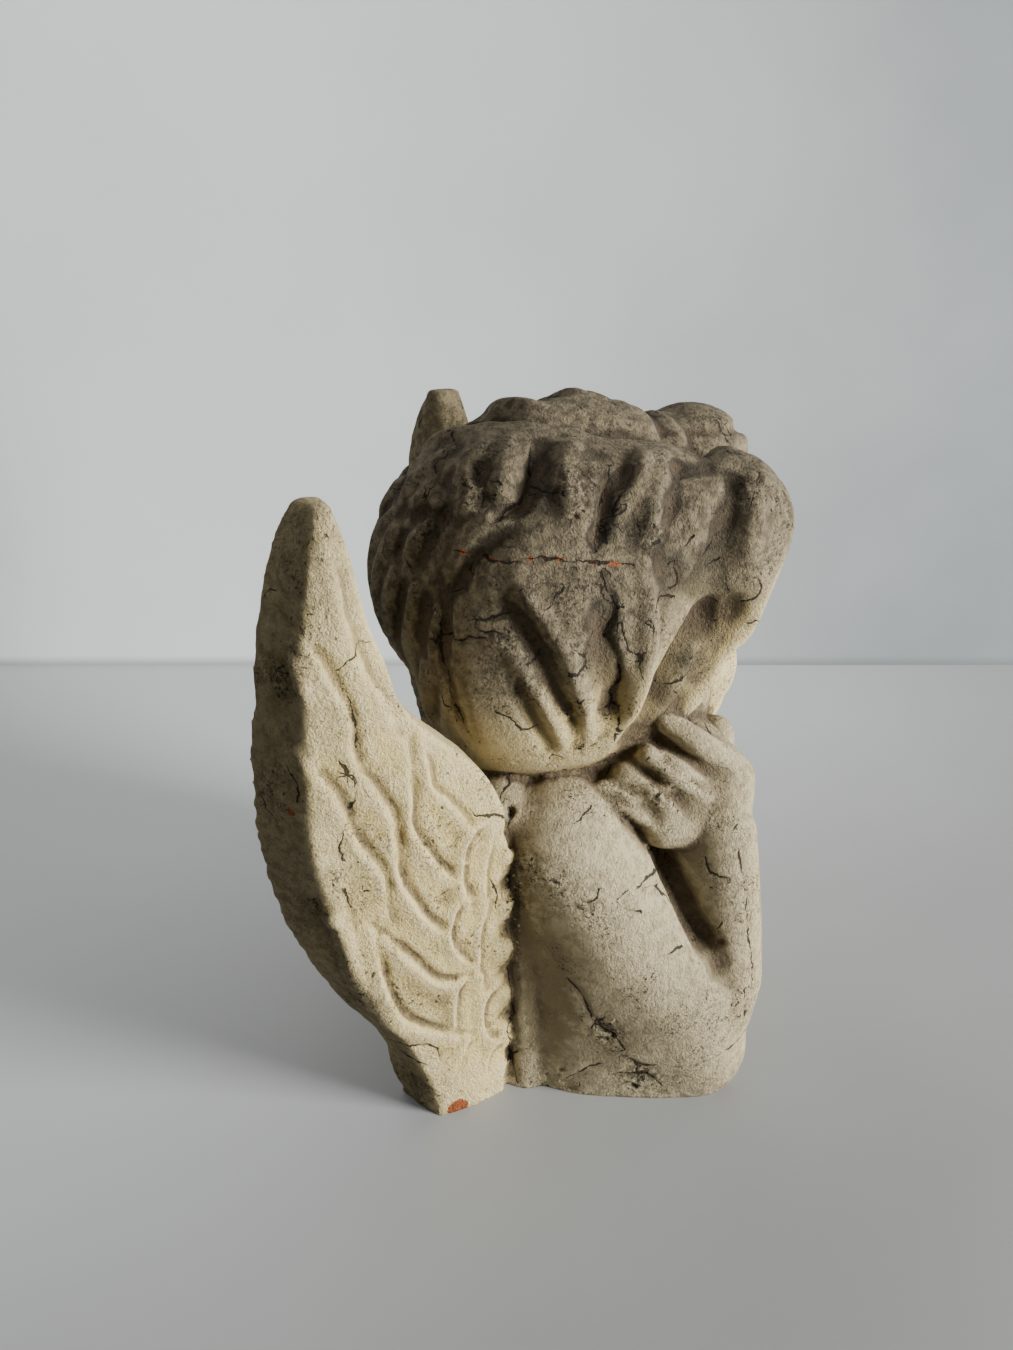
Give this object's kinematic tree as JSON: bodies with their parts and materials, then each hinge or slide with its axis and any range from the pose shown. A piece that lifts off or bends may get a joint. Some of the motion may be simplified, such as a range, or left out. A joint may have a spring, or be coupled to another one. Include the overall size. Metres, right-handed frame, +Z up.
{
  "type": "cherub bust statue",
  "caption": "Small cast bust of a winged child angel, resting its turned head on one hand, cut flat below.",
  "frame": {"origin": "centre of the flat underside, on the surface the bust stands on, midway between the two wings", "axes": "+Z up, along its height; -Y is the front of the chest; +X is the figure's own left"},
  "size_m": [0.1668, 0.1322, 0.1996],
  "materials": {
    "cement_grey": "matt fired clay under a worn cement-grey coat, with dark dirt in the hollows and orange clay at the chips"
  },
  "bodies": {
    "root": {"angel": "cement_grey"}
  },
  "joints": []
}
